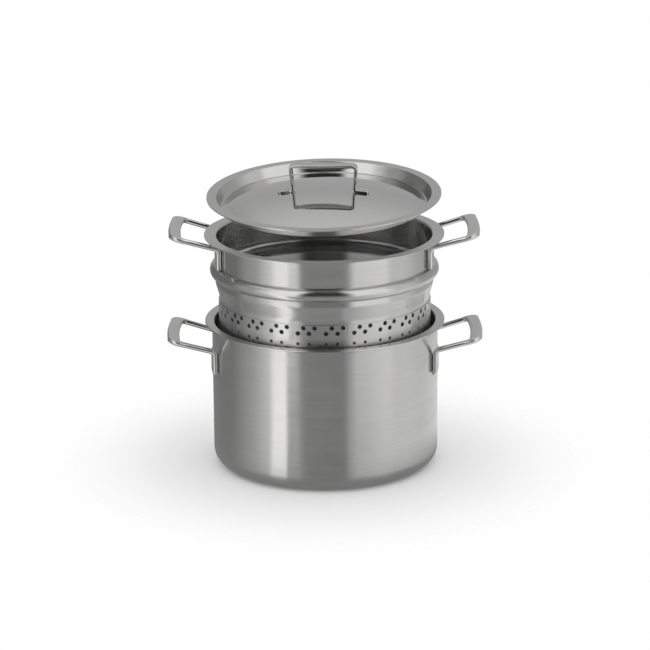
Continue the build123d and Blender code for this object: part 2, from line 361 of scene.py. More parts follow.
# Node groups
def new_group(name, inputs, outputs):
    """An empty shader group with named sockets; each is (name, kind, value)."""
    group = bpy.data.node_groups.new(name, "ShaderNodeTree")
    for label, kind, value in inputs:
        socket = group.interface.new_socket(label, in_out="INPUT", socket_type=kind)
        if value is not None:
            socket.default_value = value
    for label, kind in outputs:
        group.interface.new_socket(label, in_out="OUTPUT", socket_type=kind)
    return group, group.nodes.new("NodeGroupInput"), group.nodes.new("NodeGroupOutput")


def math_node(tree, operation, first, second=None, clamp=False):
    """A math node whose operands are sockets or numbers; returns its output."""
    node = tree.nodes.new("ShaderNodeMath")
    node.operation = operation
    node.use_clamp = clamp
    for index, operand in enumerate((first, second)):
        if isinstance(operand, (int, float)):
            node.inputs[index].default_value = operand
        elif operand is not None:
            tree.links.new(operand, node.inputs[index])
    return node.outputs[0]


def remap(tree, value, low, high, first=0.0, last=1.0):
    """Maps a value from the range low to high onto the range first to last."""
    node = tree.nodes.new("ShaderNodeMapRange")
    for label, number in (("From Min", low), ("From Max", high), ("To Min", first), ("To Max", last)):
        node.inputs[label].default_value = number
    tree.links.new(value, node.inputs["Value"])
    return node.outputs["Result"]


def make_brushing():
    """Fine parallel lines: noise stretched along the brushing, as a value round 0.5 and a bump height."""
    group, given, result = new_group(
        "brushing",
        [
            ("Vector", "NodeSocketVector", None),
            ("Fine", "NodeSocketFloat", 900.0),
            ("Coarse", "NodeSocketFloat", 180.0),
        ],
        [("Lines", "NodeSocketFloat"), ("Streaks", "NodeSocketFloat")],
    )
    for source, target, detail in (("Fine", "Lines", 3.0), ("Coarse", "Streaks", 2.0)):
        noise = group.nodes.new("ShaderNodeTexNoise")
        noise.inputs["Detail"].default_value = detail
        noise.inputs["Roughness"].default_value = 0.6
        group.links.new(given.outputs["Vector"], noise.inputs["Vector"])
        group.links.new(given.outputs[source], noise.inputs["Scale"])
        group.links.new(noise.outputs["Fac"], result.inputs[target])
    return group


def make_handling():
    """Faint cloudy marks from handling and wiping, as a mask from 0 to 1."""
    group, given, result = new_group(
        "handling_marks",
        [("Vector", "NodeSocketVector", None), ("Size", "NodeSocketFloat", 22.0)],
        [("Marks", "NodeSocketFloat")],
    )
    cloud = group.nodes.new("ShaderNodeTexNoise")
    cloud.inputs["Detail"].default_value = 5.0
    cloud.inputs["Distortion"].default_value = 0.6
    group.links.new(given.outputs["Vector"], cloud.inputs["Vector"])
    group.links.new(given.outputs["Size"], cloud.inputs["Scale"])
    group.links.new(remap(group, cloud.outputs["Fac"], 0.42, 0.68), result.inputs["Marks"])
    return group


brushing = make_brushing()
handling = make_handling()


def steel(name, colour, roughness, spread, lines, flow, bump=0.05, marks=0.05, grain=0.03, ringed=False):
    """A steel finish. flow places the brushing: a function from the tree to a vector socket.

    A ringed finish is brushed round the upright axis, so that it smears reflections up and down.
    """
    material = bpy.data.materials.new(name)
    material.use_nodes = True
    tree = material.node_tree
    shader = tree.nodes["Principled BSDF"]
    shader.inputs["Metallic"].default_value = 1.0
    if ringed:
        shader.inputs["Anisotropic"].default_value = 1.0
        shader.inputs["Anisotropic Rotation"].default_value = 0.25
    place = tree.nodes.new("ShaderNodeTexCoord")
    brushed = tree.nodes.new("ShaderNodeGroup")
    brushed.node_tree = brushing
    brushed.inputs["Fine"].default_value = lines
    brushed.inputs["Coarse"].default_value = lines / 6
    tree.links.new(flow(tree, place.outputs["Object"]), brushed.inputs["Vector"])
    cloudy = tree.nodes.new("ShaderNodeGroup")
    cloudy.node_tree = handling
    tree.links.new(place.outputs["Object"], cloudy.inputs["Vector"])
    tone = remap(tree, brushed.outputs["Lines"], 0.3, 0.7, 1 - grain, 1 + grain)
    tint = tree.nodes.new("ShaderNodeVectorMath")
    tint.operation = "SCALE"
    tint.inputs[0].default_value = colour
    tree.links.new(tone, tint.inputs["Scale"])
    tree.links.new(tint.outputs["Vector"], shader.inputs["Base Color"])
    streak = remap(tree, brushed.outputs["Streaks"], 0.3, 0.7, roughness - spread, roughness + spread)
    smeared = math_node(tree, "MULTIPLY_ADD", cloudy.outputs["Marks"], marks)
    tree.links.new(streak, smeared.node.inputs[2])
    tree.links.new(smeared, shader.inputs["Roughness"])
    relief = tree.nodes.new("ShaderNodeBump")
    relief.inputs["Strength"].default_value = bump
    relief.inputs["Distance"].default_value = 0.05 * mm
    tree.links.new(brushed.outputs["Lines"], relief.inputs["Height"])
    tree.links.new(relief.outputs["Normal"], shader.inputs["Normal"])
    return material


def straight_flow(x, y, z):
    """Brushing along straight lines: the pattern changes slowly along the axes with small scales."""

    def flow(tree, place):
        stretch = tree.nodes.new("ShaderNodeMapping")
        stretch.inputs["Scale"].default_value = (x, y, z)
        tree.links.new(place, stretch.inputs["Vector"])
        return stretch.outputs["Vector"]

    return flow


def ring_flow(held):
    """Brushing in rings round a piece's own axis, for a piece that is held raised and tilted."""

    def flow(tree, place):
        upright = tree.nodes.new("ShaderNodeMapping")
        upright.vector_type = "TEXTURE"
        upright.inputs["Location"].default_value = held.to_translation()
        upright.inputs["Rotation"].default_value = held.to_euler()
        tree.links.new(place, upright.inputs["Vector"])
        parts = tree.nodes.new("ShaderNodeSeparateXYZ")
        tree.links.new(upright.outputs["Vector"], parts.inputs["Vector"])
        squares = [math_node(tree, "MULTIPLY", parts.outputs[i], parts.outputs[i]) for i in (0, 1)]
        across = math_node(tree, "SQRT", math_node(tree, "ADD", *squares))
        along = math_node(tree, "ARCTAN2", parts.outputs[1], parts.outputs[0])
        rings = tree.nodes.new("ShaderNodeCombineXYZ")
        tree.links.new(across, rings.inputs["X"])
        tree.links.new(math_node(tree, "MULTIPLY", along, 0.0025), rings.inputs["Y"])
        tree.links.new(parts.outputs[2], rings.inputs["Z"])
        return rings.outputs["Vector"]

    return flow


level_flow = straight_flow(0.02, 0.02, 1)  # level lines round the pot
long_flow = straight_flow(1, 0.04, 1)  # along Y, the way a grip runs
wide_flow = straight_flow(0.04, 1, 1)  # along X, the way the lid's strap runs

grey = (0.62, 0.615, 0.61)
pale = (0.66, 0.655, 0.65)
wall_steel = steel("wall_steel", grey, 0.22, 0.02, 900, level_flow, bump=0.05, ringed=True)
insert_steel = steel("insert_steel", grey, 0.2, 0.02, 900, level_flow, bump=0.04, marks=0.02, ringed=True)
lid_steel = steel("lid_steel", grey, 0.12, 0.02, 900, ring_flow(lid_place), bump=0.04, ringed=True)
disc_steel = steel(
    "disc_steel", grey, 0.06, 0.01, 900, ring_flow(lid_place), bump=0.005, marks=0.01, grain=0.01
)
grip_steel = steel("grip_steel", pale, 0.3, 0.03, 500, long_flow, bump=0.03, marks=0.04)
rod_steel = steel("rod_steel", pale, 0.08, 0.02, 500, long_flow, bump=0.01, marks=0.03)
strap_steel = steel("strap_steel", pale, 0.07, 0.02, 500, wide_flow, bump=0.01, marks=0.03)
plate_steel = steel("plate_steel", grey, 0.22, 0.04, 700, level_flow, bump=0.04)
rivet_steel = steel("rivet_steel", pale, 0.16, 0.03, 600, level_flow, bump=0.02)


# The pot
def make_pot():
    """Wall, floor and flat lip, with a shallow recess pressed into the underside."""
    corners = [
        (0, pot_foot_recess, 0),
        (pot_foot_radius, pot_foot_recess, pot_foot_round),
        (pot_foot_radius + pot_foot_slope, 0, pot_foot_round),
        (pot_outer_radius, 0, pot_corner),
        (pot_outer_radius, pot_height - pot_lip_sheet, pot_lip_neck),
        (pot_lip_radius, pot_height - pot_lip_sheet, pot_lip_edge),
        (pot_lip_radius, pot_height, pot_lip_edge),
        (pot_inner_radius, pot_height, pot_lip_crest),
        (pot_inner_radius, pot_floor, pot_corner - pot_wall),
        (0, pot_floor, 0),
    ]
    spin_line(rounded(corners))
    finish_piece("pot_shell", "pot", wall_steel, ["pot_body"])


# The strainer insert
def add_hole_cell(across, up, height, radius):
    """One flat cell of the wall, four columns wide, with a round hole in its middle."""
    bpy.ops.mesh.select_all(action="DESELECT")
    place = (across * column, 0, up)
    turn = (math.pi / 2, 0, 0)
    bpy.ops.mesh.primitive_plane_add(size=1, location=place, rotation=turn)
    bpy.ops.transform.resize(value=(4 * column, 1, height), center_override=place)
    bpy.ops.mesh.subdivide(number_cuts=3)
    form = bmesh.from_edit_mesh(bpy.context.object.data)
    inner = [v for v in form.verts if v.select and not v.is_boundary]
    bmesh.ops.delete(form, geom=inner, context="VERTS")
    bmesh.update_edit_mesh(bpy.context.object.data)
    bpy.ops.mesh.primitive_circle_add(vertices=hole_sides, radius=radius, location=place, rotation=turn)
    form = bmesh.from_edit_mesh(bpy.context.object.data)
    for vert in form.verts:
        near = abs(vert.co.x - place[0]) < 2.01 * column and abs(vert.co.z - up) < height / 2 + fine_slack
        vert.select_set(near and not vert.link_faces)
    form.select_flush(True)
    bmesh.update_edit_mesh(bpy.context.object.data)
    bpy.ops.mesh.bridge_edge_loops()


def add_plain_cell(first, last, low, high):
    """A flat stretch of the wall with no holes, from one column line to another."""
    bpy.ops.mesh.select_all(action="DESELECT")
    place = ((first + last) / 2 * column, 0, (low + high) / 2)
    columns = last - first
    bpy.ops.mesh.primitive_grid_add(
        x_subdivisions=columns, y_subdivisions=1, size=1, location=place, rotation=(math.pi / 2, 0, 0)
    )
    bpy.ops.transform.resize(value=(columns * column, 1, high - low), center_override=place)


def make_holed_wall():
    """The holed part of the basket's wall: one pair of columns flat, repeated, then bent round."""
    deselect()
    bpy.ops.mesh.primitive_plane_add(size=mm, location=(0, 0, 0))
    bpy.ops.object.mode_set(mode="EDIT")
    bpy.context.tool_settings.mesh_select_mode = (True, False, False)
    bpy.ops.mesh.select_all(action="SELECT")
    bpy.ops.mesh.delete(type="VERT")
    period = wall_steps // hole_pairs
    last_low = None
    for band in range(hole_bands):
        wide = band % 2 == 0
        height = wide_row_spacing if wide else fine_row_spacing
        radius = wide_hole_radius if wide else fine_hole_radius
        middle = bead_height - hole_band_drop - band * hole_band_pitch
        if last_low is not None:
            add_plain_cell(-2, period - 2, middle + height, last_low)
        for row in (1, -1):
            up = middle + row * height / 2
            shifted = (row > 0) == wide
            start = 2 if shifted else 0
            add_hole_cell(start, up, height, radius)
            add_hole_cell(start + 4, up, height, radius)
            if shifted:
                add_plain_cell(-2, 0, up - height / 2, up + height / 2)
            else:
                add_plain_cell(period - 4, period - 2, up - height / 2, up + height / 2)
        last_low = middle - height
    tidy_faces()
    bpy.ops.object.mode_set(mode="OBJECT")
    wall = bpy.context.object
    repeat = wall.modifiers.new("repeat", "ARRAY")
    repeat.count = hole_pairs
    repeat.use_relative_offset = False
    repeat.use_constant_offset = True
    repeat.constant_offset_displace = (period * column, 0, 0)
    repeat.use_merge_vertices = True
    repeat.merge_threshold = weld
    bpy.ops.object.modifier_apply(modifier=repeat.name)
    bend = wall.modifiers.new("bend", "SIMPLE_DEFORM")
    bend.deform_method = "BEND"
    bend.deform_axis = "Z"
    bend.angle = full_turn
    bpy.ops.object.modifier_apply(modifier=bend.name)
    bpy.ops.object.mode_set(mode="EDIT")
    bpy.ops.mesh.select_all(action="SELECT")
    bpy.ops.transform.translate(value=(0, -basket_radius, 0))
    bpy.ops.transform.rotate(value=hole_turn, orient_axis="Z", center_override=(0, 0, 0))
    bpy.ops.object.mode_set(mode="OBJECT")
    return wall


def make_insert():
    """Lip, collar, bead, taper, holed basket and holed base, pressed from one sheet."""
    bead_middle = bead_radius - bead_round
    bead_turn = math.asin(bead_half_height / bead_round)
    bead_end = bead_middle + bead_round * math.cos(bead_turn)
    wall_high = bead_height - hole_band_drop + wide_row_spacing
    wall_low = bead_height - hole_band_drop - (hole_bands - 1) * hole_band_pitch - fine_row_spacing
    upper = rounded(
        [
            (insert_lip_radius, insert_top - insert_sheet, 0),
            (collar_radius, insert_top - insert_sheet, insert_lip_neck),
            (collar_radius, bead_height + bead_half_height, 0),
        ]
    )
    bead = arc((bead_middle, bead_height), bead_round, bead_turn, -bead_turn, 22)
    lower = rounded(
        [
            (bead_end, bead_height - bead_half_height, 0),
            (skirt_radius, bead_height - skirt_drop, skirt_blend),
            (basket_radius, bead_height - taper_drop, taper_blend),
            (basket_radius, wall_high, 0),
        ],
        fineness=3,
    )
    bottom = rounded(
        [
            (basket_radius, wall_low, 0),
            (basket_radius, bead_height - basket_depth, basket_corner),
            (base_radius, bead_height - basket_depth, 0),
        ],
        fineness=8,
    )
    wall = make_holed_wall()
    spin_line(upper + bead + lower[1:])
    top = bpy.context.object
    bpy.ops.object.mode_set(mode="OBJECT")
    spin_line(bottom)
    add_base()
    bpy.ops.object.mode_set(mode="OBJECT")
    base = bpy.context.object
    for piece in (wall, top, base):
        piece.select_set(True)
    bpy.context.view_layer.objects.active = base
    bpy.ops.object.join()
    bpy.ops.object.mode_set(mode="EDIT")
    bpy.ops.mesh.select_all(action="SELECT")
    bpy.ops.mesh.remove_doubles(threshold=seam_weld)
    bpy.ops.mesh.normals_make_consistent(inside=False)
    face_out(lambda p: abs(p.z - bead_height + taper_drop + mm) < mm, radially)
    give_thickness(insert_sheet, outward=False)
    bpy.ops.object.mode_set(mode="EDIT")
    pick("edges", lambda p: p.xy.length > insert_lip_radius - slack)
    bpy.ops.mesh.bevel(offset=insert_lip_soft, segments=2, affect="EDGES")
    finish_piece("strainer_shell", "insert", insert_steel, ["insert_body"])


def add_base():
    """The flat base inside the basket's rounded corner, with rings of round holes."""
    height = bead_height - basket_depth
    for ring in range(1, base_rings + 1):
        for hole in range(ring * base_ring_holes):
            angle = full_turn * hole / (ring * base_ring_holes)
            reach = ring * base_ring_pitch
            place = (reach * math.cos(angle), reach * math.sin(angle), height)
            bpy.ops.mesh.primitive_circle_add(vertices=hole_sides, radius=wide_hole_radius, location=place)
    pick("edges", lambda p: abs(p.z - height) < fine_slack and p.xy.length < base_radius + slack)
    bpy.ops.mesh.fill(use_beauty=True)


# Handles
def start_loft(sides_round):
    """A capped ring that grow_loft then carries along a piece."""
    deselect()
    bpy.ops.mesh.primitive_circle_add(vertices=sides_round, radius=mm, fill_type="NGON", location=(0, 0, 0))
    bpy.ops.object.mode_set(mode="EDIT")
    bpy.context.tool_settings.mesh_select_mode = (False, False, True)
    bpy.ops.mesh.select_all(action="SELECT")


def grow_loft(sections, sides_round):
    """Extrudes the capped ring through sections, each of them what place_ring takes."""
    start_loft(sides_round)
    for index, section in enumerate(sections):
        if index:
            bpy.ops.mesh.extrude_region_move()
        place_ring(*section)
    bpy.ops.mesh.select_all(action="SELECT")
    bpy.ops.mesh.normals_make_consistent(inside=False)


def place_ring(middle, sideways, upwards, width, thickness, squareness):
    """Sets the selected ring's corners on an oval or a rounded bar."""
    form = bmesh.from_edit_mesh(bpy.context.object.data)
    face = next(f for f in form.faces if f.select)
    power = 2 / squareness
    count = len(face.verts)
    for index, loop in enumerate(face.loops):
        angle = full_turn * (index + 0.5) / count
        across = math.copysign(abs(math.cos(angle)) ** power, math.cos(angle)) * width / 2
        up = math.copysign(abs(math.sin(angle)) ** power, math.sin(angle)) * thickness / 2
        loop.vert.co = middle + sideways * across + upwards * up
    bmesh.update_edit_mesh(bpy.context.object.data)


def rod_path(wall_radius, arm_height, leg_length):
    """Middles of a handle's rod from its foot up the leg and out along the arm, with their directions."""
    leg_x = math.sqrt((wall_radius + seat_gap + rod_radius) ** 2 - (leg_spacing / 2) ** 2)
    foot = arm_height - leg_length
    turn = math.pi / 2 - arm_slope
    reach = rod_bend * math.tan(turn / 2)
    stations = []
    for rise, share in foot_rounding:
        stations.append((Vector((leg_x, 0, foot + rise * mm)), math.pi / 2, share))
    for share in (0.1, 0.35, 0.65, 0.9):
        stations.append((Vector((leg_x, 0, foot + share * (leg_length - reach))), math.pi / 2, 1.0))
    centre = Vector((leg_x + rod_bend, 0, arm_height - reach))
    steps = 10
    for step in range(steps + 1):
        swept = turn * step / steps
        place = centre + Vector((-math.cos(swept), 0, math.sin(swept))) * rod_bend
        stations.append((place, math.pi / 2 - swept, 1.0))
    return leg_x, stations


def make_side_handle(name, body, side, wall_radius, arm_height, leg_length, grip_reach, node):
    """Two legs, two arms and the flat grip across them, as one rod that swells into a plate."""
    leg_x, rod = rod_path(wall_radius, arm_height, leg_length)
    slope_along = Vector((math.cos(arm_slope), 0, math.sin(arm_slope)))
    slope_up = Vector((-math.sin(arm_slope), 0, math.cos(arm_slope)))
    origin = Vector((leg_x, 0, arm_height))
    inner = grip_reach - grip_width - grip_hollow
    half = grip_length / 2
    shoulder = inner + grip_hollow - grip_hollow_bow
    hollow_half = leg_spacing / 2 + shoulder * math.tan(arm_spread) - rod_radius
    hollow_arc = (hollow_half**2 + grip_hollow_bow**2) / (2 * grip_hollow_bow)
    bow_round = (half**2 + grip_bow**2) / (2 * grip_bow)

    def hollow_edge(v):
        return inner + grip_hollow - hollow_arc + math.sqrt(hollow_arc**2 - v**2)

    def outer_edge(v):
        return grip_reach - bow_round + math.sqrt(bow_round**2 - v**2)

    def arm_middle(u):
        return leg_spacing / 2 + u * math.tan(arm_spread)

    sections = []
    for place, tilt, share in rod:
        along = place.x - leg_x
        upwards = Vector((-math.sin(tilt), 0, math.cos(tilt)))
        middle = place + Vector((0, arm_middle(along), 0))
        across = 2 * rod_radius * share
        sections.append((middle, Vector((0, 1, 0)), upwards, across, across, 2.0))
    bend_end = (rod[-1][0] - origin).dot(slope_along)
    corner_u = outer_edge(half - grip_corner) - grip_corner + corner_ease
    fillet_v = hollow_half - grip_hollow_round
    fillet_u = hollow_edge(fillet_v) - grip_hollow_round
    arm_end = min(fillet_u, corner_u) - swell_lead
    pairs = []
    arm_steps = 6
    for step in range(1, arm_steps + 1):
        u = bend_end + (arm_end - bend_end) * step / arm_steps
        pairs.append(((u, arm_middle(u) - rod_radius), (u, arm_middle(u) + rod_radius), 2 * rod_radius, 2.0))
    fan = 10
    start_out = Vector((arm_end, arm_middle(arm_end) + rod_radius))
    for step in range(1, fan + 1):
        share = step / fan
        swept = share * math.pi / 2
        corner = Vector((corner_u, half - grip_corner))
        outward = Vector((math.sin(swept), math.cos(swept)))
        round_out = corner + outward * grip_corner
        blend = min(1.0, share * 3)
        blend = blend * blend * (3 - 2 * blend)
        line_out = start_out + Vector((math.cos(arm_spread), math.sin(arm_spread))) * share * swell_run
        out = line_out.lerp(round_out, blend)
        round_in = Vector((fillet_u, fillet_v)) + outward * grip_hollow_round
        squareness = 2.0 + 3.0 * share
        thick = 2 * rod_radius + (grip_thickness - 2 * rod_radius) * share
        pairs.append((tuple(round_in), tuple(out), thick, squareness))
    last_in = pairs[-1][0][1]
    last_out = pairs[-1][1][1]
    grip_steps = 9
    for step in range(1, grip_steps + 1):
        share = 1 - step / grip_steps
        v_in = last_in * share
        v_out = last_out * share
        pairs.append(((hollow_edge(v_in), v_in), (outer_edge(v_out), v_out), grip_thickness, 5.0))
    for inside, outside, thick, squareness in pairs:
        near = origin + slope_along * inside[0] + Vector((0, inside[1], 0))
        far = origin + slope_along * outside[0] + Vector((0, outside[1], 0))
        sideways = (far - near).normalized()
        sections.append(((near + far) / 2, sideways, slope_up, (far - near).length, thick, squareness))
    mirror = Vector((1, -1, 1))
    other = []
    for middle, sideways, upwards, width, thick, squareness in reversed(sections[:-1]):
        other.append((middle * mirror, sideways * mirror, upwards, width, thick, squareness))
    grow_loft(sections + other, 28)
    if side < 0:
        bpy.ops.mesh.select_all(action="SELECT")
        bpy.ops.transform.resize(value=(-1, 1, 1), center_override=(0, 0, 0))
        bpy.ops.mesh.normals_make_consistent(inside=False)
    handle = finish_piece(name, body, rod_steel, [node], angle=50)
    give_part(handle, grip_steel, lambda p: abs(p.x) > leg_x + (arm_end + satin_lead) * math.cos(arm_slope))


def make_plate(name, body, side, wall_radius, arm_height, height, node):
    """The curved plate between a handle's legs."""
    inside = wall_radius + seat_gap
    reach = leg_spacing / 2 - rod_radius - seat_gap
    half_angle = math.asin(reach / (inside + plate_sheet))
    top = arm_height - plate_drop
    bottom = top - height
    draw_line([Vector((inside, bottom)), Vector((inside, top))])
    bpy.ops.mesh.select_all(action="SELECT")
    bpy.ops.mesh.spin(steps=24, angle=2 * half_angle, center=(0, 0, 0), axis=(0, 0, 1))
    bpy.ops.mesh.select_all(action="SELECT")
    middle = 0 if side > 0 else math.pi
    turned = Matrix.Rotation(middle - half_angle, 4, "Z")
    spread = bpy.context.object
    form = bmesh.from_edit_mesh(spread.data)
    lowest = min(math.atan2(v.co.y, v.co.x) for v in form.verts)
    if lowest < -0.01:
        turned = Matrix.Rotation(middle + half_angle, 4, "Z")
    bmesh.update_edit_mesh(spread.data)
    bpy.ops.object.mode_set(mode="OBJECT")
    spread.matrix_world = turned
    bpy.ops.object.transform_apply(location=True, rotation=True, scale=True)
    bpy.ops.object.mode_set(mode="EDIT")
    pick("verts", lambda p: abs(abs(p.y) - math.sin(half_angle) * inside) < 0.1 * mm)
    bpy.ops.mesh.bevel(offset=plate_corner, segments=5, affect="VERTICES")
    bpy.ops.mesh.select_all(action="SELECT")
    bpy.ops.mesh.normals_make_consistent(inside=False)
    face_out(lambda p: True, radially)
    give_thickness(plate_sheet, outward=True)
    soften = spread.modifiers.new("edge", "BEVEL")
    soften.width = plate_soft
    soften.segments = 3
    soften.limit_method = "ANGLE"
    soften.angle_limit = math.radians(50)
    bpy.ops.object.modifier_apply(modifier=soften.name)
    finish_piece(name, body, plate_steel, [node])


def spin_rivet(shank, seat, end, inner_head, inner_rise, outer_head, outer_rise, dimple):
    """A rivet along +Z with a domed head at each end of its shank, the outer one dimpled."""
    outer_round = (outer_head**2 + outer_rise**2) / (2 * outer_rise)
    inner_round = (inner_head**2 + inner_rise**2) / (2 * inner_rise)
    top = math.asin(outer_head / outer_round)
    low = math.asin(inner_head / inner_round)
    points = [Vector((0, end + outer_rise - dimple))]
    points.append(Vector((dimple_half, end + outer_rise - dimple)))
    first = 0.3 * top
    for step in range(8):
        lean = first + (top - first) * step / 7
        points.append(
            Vector((outer_round * math.sin(lean), end + outer_rise - outer_round * (1 - math.cos(lean))))
        )
    points.append(Vector((shank, end)))
    points.append(Vector((shank, seat)))
    for step in range(7):
        lean = low * (1 - step / 6)
        points.append(
            Vector((inner_round * math.sin(lean), seat - inner_rise + inner_round * (1 - math.cos(lean))))
        )
    points[-1] = Vector((0, seat - inner_rise))
    spin_line(points, steps=28)
    bpy.ops.object.mode_set(mode="OBJECT")
    return bpy.context.object


def make_rivets(name, body, places, rivet, node):
    """Copies a rivet to its places and joins the pair that shares one node."""
    copies = []
    for place in places:
        deselect()
        rivet.select_set(True)
        bpy.context.view_layer.objects.active = rivet
        bpy.ops.object.duplicate()
        copy = bpy.context.object
        copy.matrix_world = place
        bpy.ops.object.transform_apply(location=True, rotation=True, scale=True)
        copies.append(copy)
    deselect()
    for copy in copies:
        copy.select_set(True)
    bpy.context.view_layer.objects.active = copies[0]
    bpy.ops.object.join()
    finish_piece(name, body, rivet_steel, [node], angle=50)


def wall_rivet_places(side, height):
    """Turns a rivet along +Z so that it lies straight out through the wall, both angles of a side."""
    middle = 0 if side > 0 else math.pi
    places = []
    for angle in (middle - rivet_angle, middle + rivet_angle):
        outward = Matrix.Rotation(angle, 4, "Z") @ Matrix.Rotation(math.pi / 2, 4, "Y")
        places.append(Matrix.Translation((0, 0, height)) @ outward)
    return places


def make_side_sets():
    """Handles, plates and rivets of the pot and of the insert, on both sides."""
    collar_inside = collar_radius - insert_sheet
    sets = (
        ("pot", "pot", pot_outer_radius, pot_inner_radius, pot_arm_height, pot_leg_length),
        ("insert", "insert", collar_radius, collar_inside, insert_arm_height, insert_leg_length),
    )
    reaches = {"pot": pot_grip_reach, "insert": insert_grip_reach}
    heights = {"pot": pot_plate_height, "insert": insert_plate_height}
    for label, body, outside, inside, arm_height, leg_length in sets:
        seat = math.sqrt(inside**2 - rivet_inner_head**2) - seat_gap
        end = outside + 2 * seat_gap + plate_sheet
        heads = (rivet_inner_head, rivet_inner_rise, rivet_outer_head, rivet_outer_rise)
        rivet = spin_rivet(rivet_shank, seat, end, *heads, dimple=rivet_dimple)
        for side_name, side in sides.items():
            node = f"{label}_handle_{side_name}"
            name = f"{label}_side_handle_{side_name}"
            make_side_handle(name, body, side, outside, arm_height, leg_length, reaches[label], node)
            node = f"{label}_flange_{side_name}"
            name = f"{label}_plate_{side_name}"
            make_plate(name, body, side, outside, arm_height, heights[label], node)
            places = wall_rivet_places(side, arm_height - rivet_drop)
            node = f"{label}_rivets_{side_name}"
            make_rivets(f"{label}_rivet_pair_{side_name}", body, places, rivet, node)
        bpy.data.objects.remove(rivet)


# The lid
def raise_lid_piece():
    """Puts the active piece, made in the lid's own frame, where the lid is held."""
    if bpy.context.object.mode == "EDIT":
        bpy.ops.object.mode_set(mode="OBJECT")
    piece = bpy.context.object
    deselect()
    piece.select_set(True)
    bpy.context.view_layer.objects.active = piece
    piece.matrix_world = lid_place
    bpy.ops.object.transform_apply(location=True, rotation=True, scale=True)


def make_lid():
    """Lip, sunken well and domed disc in one sheet."""
    rim = rounded(
        [
            (lid_lip_radius, 0, 0),
            (lid_mouth_radius, 0, lid_mouth_round),
            (lid_well_radius, -lid_well_depth, lid_well_round),
            (lid_disc_radius, -lid_disc_depth, 0),
        ],
        fineness=8,
        hold=0.25 * mm,
    )
    edge = math.asin(lid_disc_radius / dome_radius)
    dome = [
        Vector((dome_radius * math.sin(a), dome_middle + dome_radius * math.cos(a)))
        for a in [edge * (1 - step / 16) for step in range(17)]
    ]
    dome[-1] = Vector((0, dome_top))
    spin_line(rim + dome[1:])
    face_out(lambda p: p.xy.length < 20 * mm, lambda p: Vector((0, 0, 1)))
    give_thickness(lid_sheet, outward=False)
    bpy.ops.object.mode_set(mode="EDIT")
    pick("edges", lambda p: p.xy.length > lid_lip_radius - slack)
    bpy.ops.mesh.bevel(offset=lid_lip_soft, segments=3, affect="EDGES")
    raise_lid_piece()
    shell = finish_piece("lid_shell", "lid", lid_steel, ["lid_pan"])
    level = lid_place.inverted()
    give_part(shell, disc_steel, lambda p: (level @ p).xy.length < lid_disc_radius)


def make_strap():
    """The lid's handle: a bent bar, narrow over its feet and widest at the grip."""
    top = dome_top + strap_height - strap_thickness / 2
    foot_seat = dome_radius + seat_gap
    foot_middle = foot_seat + foot_thickness / 2
    end = strap_foot_span / 2
    corner = strap_leg_span / 2
    rise = dome_middle + math.sqrt(foot_middle**2 - corner**2)
    end_rise = dome_middle + math.sqrt(foot_middle**2 - end**2)
    path = rounded(
        [
            (end, end_rise, 0),
            (corner, rise, strap_foot_bend),
            (strap_top_span / 2, top, strap_bend),
            (0, top, 0),
        ],
        fineness=9,
        hold=0.5 * mm,
    )
    start = path[0]
    along = (path[1] - start).normalized()
    rounding = [start + along * share * strap_end_run for share in (0.0, 0.08, 0.25, 0.5, 0.8, 1.05)]
    path = rounding + path[1:-1]
    widths = [0.56, 0.68, 0.82, 0.93, 0.99, 1.0]
    grip_points = [Vector((strap_top_span / 2 * (1 - step / 10), top)) for step in range(3, 11)]
    path += [p for p in grip_points if p.x < path[-1].x - 0.5 * mm]
    shoulder = (strap_top_span + strap_thickness) / 2
    bow = (strap_grip_width - strap_shoulder) / 2
    bow_round = (shoulder**2 + bow**2) / (2 * bow)
    sections = []
    for index, point in enumerate(path):
        before = path[max(index - 1, 0)]
        after = path[index + 1] if index + 1 < len(path) else Vector((-before.x, before.y))
        ahead = (after - before).normalized()
        if point.x <= shoulder:
            reach = math.sqrt(bow_round**2 - point.x**2)
            half_width = strap_grip_width / 2 - bow_round + reach
        else:
            share = (point.x - shoulder) / (end - shoulder)
            half_width = (strap_shoulder + (strap_foot_width - strap_shoulder) * share) / 2
        if index < len(widths):
            half_width *= widths[index]
        on_foot = point.x > corner + strap_foot_bend and point.y < strap_foot_top
        thick = foot_thickness if on_foot else strap_thickness
        if not on_foot and point.y < strap_thin_top:
            thick = (foot_thickness + strap_thickness) / 2
        upwards = Vector((ahead.y, 0, -ahead.x))
        middle = Vector((point.x, 0, point.y))
        sections.append((middle, Vector((0, 1, 0)), upwards, 2 * half_width, thick, 5.0))
    other = []
    for middle, sideways, upwards, width, thick, squareness in reversed(sections[:-1]):
        turned = Vector((-upwards.x, 0, upwards.z))
        other.append((middle * Vector((-1, 1, 1)), sideways, turned, width, thick, squareness))
    grow_loft(sections + other, 28)
    raise_lid_piece()
    finish_piece("lid_strap", "lid", strap_steel, ["lid_handle"], angle=50)


def make_studs():
    """The four small rivets of the strap's feet."""
    seat = dome_radius - lid_sheet - seat_gap
    end = dome_radius + seat_gap + foot_thickness + seat_gap
    heads = (stud_head, stud_rise, stud_head, stud_rise)
    stud = spin_rivet(stud_shank, seat, end, *heads, dimple=stud_dimple)
    for side_name, side in sides.items():
        places = []
        for along in (stud_offset - stud_spacing / 2, stud_offset + stud_spacing / 2):
            lean = Matrix.Rotation(math.asin(side * along / dome_radius), 4, "Y")
            places.append(lid_place @ Matrix.Translation((0, 0, dome_middle)) @ lean)
        name = f"lid_rivet_pair_{side_name}"
        make_rivets(name, "lid", places, stud, f"lid_rivets_{side_name}")
    bpy.data.objects.remove(stud)


make_pot()
make_insert()
make_side_sets()
make_lid()
make_strap()
make_studs()

